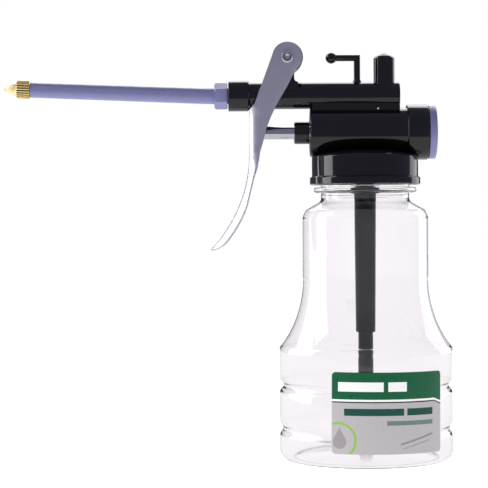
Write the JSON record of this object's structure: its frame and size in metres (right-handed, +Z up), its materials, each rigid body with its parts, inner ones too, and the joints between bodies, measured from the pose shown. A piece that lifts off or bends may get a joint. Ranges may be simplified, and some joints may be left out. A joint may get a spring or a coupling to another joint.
{
  "type": "hand pump oil can",
  "caption": "Clear bottle with a screw-on pump head, a squeeze trigger, a sprung plunger and a long straight spout, for dispensing lubricating oil.",
  "frame": {"origin": "on the plane that the bottle stands on, under the middle of the whole can's length from nozzle tip to bottle side", "axes": "+Z up along the bottle's axis, the spout points along -X, the label faces -Y"},
  "size_m": [0.1787, 0.0695, 0.1665],
  "materials": {
    "clear_plastic": "clear blown plastic, glossy",
    "label_film": "coated paper label with a green band over light grey",
    "black_plastic": "glossy black moulded plastic",
    "dull_black_plastic": "dull speckled black plastic",
    "lilac_plastic": "lilac grey plastic, satin",
    "white_plastic": "white plastic",
    "rubber": "black rubber",
    "sheet_steel": "bright plated sheet steel, satin",
    "polished_steel": "polished steel",
    "spring_steel": "spring wire",
    "brass": "turned and knurled brass"
  },
  "bodies": {
    "bottle": {"bottle": "clear_plastic", "label": "label_film"},
    "gasket": {"neck_gasket": "white_plastic"},
    "head": {"pump_housing": "black_plastic", "gland_nut": "black_plastic", "rod_seal": "rubber", "end_cap": "lilac_plastic", "end_cap_seal": "rubber", "return_spring": "spring_steel", "trigger_pin": "polished_steel", "outlet_spring": "spring_steel", "spout_nut": "lilac_plastic", "spout_ferrule": "white_plastic", "spout_tube": "lilac_plastic", "nozzle": "brass", "suction_stem": "black_plastic", "stem_washer": "white_plastic", "dip_tube": "black_plastic", "strainer_ring": "white_plastic", "inlet_strainer": "dull_black_plastic"},
    "trigger": {"trigger": "sheet_steel"},
    "plunger": {"plunger_rod": "polished_steel", "piston": "white_plastic", "piston_ring": "rubber"},
    "inlet_ball": {"inlet_ball": "polished_steel"},
    "outlet_ball": {"outlet_ball": "polished_steel"}
  },
  "joints": [
    {"name": "head_lift", "type": "slide", "parent": "bottle", "child": "gasket", "axis": [0, 0, 1], "range_m": [0, 0.115]},
    {"name": "head_turn", "type": "hinge", "parent": "gasket", "child": "head", "pos_m": [0.0547, 0, 0.1185], "axis": [0, 0, 1], "continuous": true},
    {"name": "trigger_squeeze", "type": "hinge", "parent": "head", "child": "trigger", "pos_m": [0.0237, 0, 0.16045], "axis": [0, -1, 0], "range_deg": [0, 18], "stiffness_Nm_per_rad": 0.223, "springref_deg": -15.36},
    {"name": "plunger_slide", "type": "slide", "parent": "head", "child": "plunger", "axis": [1, 0, 0], "range_m": [0, 0.00938], "deforming": ["return_spring"]},
    {"name": "inlet_ball_lift", "type": "slide", "parent": "head", "child": "inlet_ball", "axis": [0, 0, 1], "range_m": [0, 0.001]},
    {"name": "outlet_ball_slide", "type": "slide", "parent": "head", "child": "outlet_ball", "axis": [-1, 0, 0], "range_m": [0, 0.001], "stiffness_N_per_m": 60, "springref_m": -0.002, "deforming": ["outlet_spring"]}
  ],
  "couplings": [
    {"joint": "plunger_slide", "follows": "trigger_squeeze", "m_per_rad": 0.02985}
  ]
}
